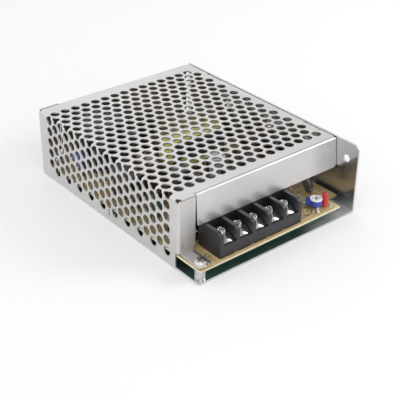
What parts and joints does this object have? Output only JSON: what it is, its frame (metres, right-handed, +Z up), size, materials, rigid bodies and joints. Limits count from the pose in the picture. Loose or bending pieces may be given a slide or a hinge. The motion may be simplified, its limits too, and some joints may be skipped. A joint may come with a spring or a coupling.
{
  "type": "enclosed power converter with transformer",
  "caption": "Flat folded-sheet power converter with a perforated cover, an open front ledge carrying a screw terminal block, a trimmer and a lamp.",
  "frame": {"origin": "centre of the resting face under the base plate, midway along the width and the length", "axes": "+X along the terminal side towards the bare wall of the chassis, +Y from the terminals to the rear, +Z up out of the resting face"},
  "size_m": [0.098, 0.129, 0.0362],
  "materials": {
    "cover_sheet": "bright galvanised sheet",
    "chassis_sheet": "bright rolled sheet",
    "plated_hardware": "zinc plated",
    "standoff": "turned",
    "board": "paper laminate, satin",
    "terminal_plastic": "moulded black",
    "terminal_metal": "nickel plated",
    "trimmer_blue": "moulded blue",
    "trimmer_white": "moulded white",
    "lamp_red": "tinted clear resin",
    "tinned_wire": "tinned",
    "device_copper": "tinned tab",
    "black_epoxy": "moulded epoxy",
    "can_sleeve_black": "shrink sleeve",
    "can_sleeve_grey": "shrink sleeve",
    "ferrite": "sintered",
    "bobbin_plastic": "moulded",
    "yellow_tape": "polyester film tape",
    "winding_tape": "polyester film tape",
    "copper_wire": "enamelled copper",
    "powder_core": "coated powdered iron",
    "film_yellow": "moulded box",
    "film_brown": "dipped resin",
    "disc_blue": "dipped resin",
    "disc_green": "dipped",
    "fuse_glass": "clear",
    "spreader": "extruded",
    "pad_grey": "silicone",
    "resistor_body": "lacquered",
    "diode_body": "moulded"
  },
  "bodies": {
    "case": {"perforated_cover": "cover_sheet", "chassis": "chassis_sheet", "board_screws": "plated_hardware", "screw_washers": "plated_hardware", "side_screws": "plated_hardware", "device_screws": "plated_hardware", "board_standoffs": "standoff", "circuit_board": "board", "terminal_block_housing": "terminal_plastic", "terminal_contacts": "terminal_metal", "trimmer_base": "trimmer_blue", "indicator_lamp": "lamp_red", "trimmer_pins": "tinned_wire", "lamp_leads": "tinned_wire", "transformer_pins": "tinned_wire", "choke_pins": "tinned_wire", "wire_links": "tinned_wire", "fuse_clips": "tinned_wire", "fuse_caps": "tinned_wire", "device_tabs": "device_copper", "power_devices": "black_epoxy", "bridge_rectifier": "black_epoxy", "control_chip": "black_epoxy", "optocoupler": "black_epoxy", "leaning_capacitor": "can_sleeve_black", "small_capacitors": "can_sleeve_black", "bulk_capacitor": "can_sleeve_black", "output_capacitors": "can_sleeve_grey", "transformer_core": "ferrite", "choke_core": "ferrite", "transformer_bobbin": "bobbin_plastic", "choke_base": "bobbin_plastic", "core_tape": "yellow_tape", "transformer_winding": "winding_tape", "choke_windings": "copper_wire", "output_choke_winding": "copper_wire", "output_choke_core": "powder_core", "mains_film_capacitor": "film_yellow", "snubber_capacitor": "film_yellow", "brown_film_capacitor": "film_brown", "safety_capacitors": "disc_blue", "thermistor": "disc_green", "fuse_tube": "fuse_glass", "heat_spreader": "spreader", "thermal_pads": "pad_grey", "signal_resistors": "resistor_body", "power_resistor": "resistor_body", "signal_diodes": "diode_body"},
    "dial": {"trimmer_dial": "trimmer_white"},
    "clamp_1": {"clamp_plate_1": "terminal_metal"},
    "screw_1": {"terminal_screw_1": "terminal_metal"},
    "clamp_2": {"clamp_plate_2": "terminal_metal"},
    "screw_2": {"terminal_screw_2": "terminal_metal"},
    "clamp_3": {"clamp_plate_3": "terminal_metal"},
    "screw_3": {"terminal_screw_3": "terminal_metal"},
    "clamp_4": {"clamp_plate_4": "terminal_metal"},
    "screw_4": {"terminal_screw_4": "terminal_metal"},
    "clamp_5": {"clamp_plate_5": "terminal_metal"},
    "screw_5": {"terminal_screw_5": "terminal_metal"}
  },
  "joints": [
    {"name": "dial_turn", "type": "hinge", "parent": "case", "child": "dial", "pos_m": [0.0289, -0.0575, 0.011], "axis": [0, 0, 1], "range_deg": [-130, 130]},
    {"name": "clamp_slide_1", "type": "slide", "parent": "case", "child": "clamp_1", "axis": [0, 0, 1], "range_m": [0, 0.0025]},
    {"name": "screw_turn_1", "type": "hinge", "parent": "clamp_1", "child": "screw_1", "pos_m": [-0.0299, -0.0563, 0.016], "axis": [0, 0, 1], "range_deg": [-4, 1804]},
    {"name": "clamp_slide_2", "type": "slide", "parent": "case", "child": "clamp_2", "axis": [0, 0, 1], "range_m": [0, 0.0025]},
    {"name": "screw_turn_2", "type": "hinge", "parent": "clamp_2", "child": "screw_2", "pos_m": [-0.0204, -0.0563, 0.016], "axis": [0, 0, 1], "range_deg": [-4, 1804]},
    {"name": "clamp_slide_3", "type": "slide", "parent": "case", "child": "clamp_3", "axis": [0, 0, 1], "range_m": [0, 0.0025]},
    {"name": "screw_turn_3", "type": "hinge", "parent": "clamp_3", "child": "screw_3", "pos_m": [-0.0109, -0.0563, 0.016], "axis": [0, 0, 1], "range_deg": [-4, 1804]},
    {"name": "clamp_slide_4", "type": "slide", "parent": "case", "child": "clamp_4", "axis": [0, 0, 1], "range_m": [0, 0.0025]},
    {"name": "screw_turn_4", "type": "hinge", "parent": "clamp_4", "child": "screw_4", "pos_m": [-0.0014, -0.0563, 0.016], "axis": [0, 0, 1], "range_deg": [-4, 1804]},
    {"name": "clamp_slide_5", "type": "slide", "parent": "case", "child": "clamp_5", "axis": [0, 0, 1], "range_m": [0, 0.0025]},
    {"name": "screw_turn_5", "type": "hinge", "parent": "clamp_5", "child": "screw_5", "pos_m": [0.0081, -0.0563, 0.016], "axis": [0, 0, 1], "range_deg": [-4, 1804]}
  ],
  "couplings": [
    {"joint": "screw_turn_1", "follows": "clamp_slide_1", "rad_per_m": 12566},
    {"joint": "screw_turn_2", "follows": "clamp_slide_2", "rad_per_m": 12566},
    {"joint": "screw_turn_3", "follows": "clamp_slide_3", "rad_per_m": 12566},
    {"joint": "screw_turn_4", "follows": "clamp_slide_4", "rad_per_m": 12566},
    {"joint": "screw_turn_5", "follows": "clamp_slide_5", "rad_per_m": 12566}
  ]
}
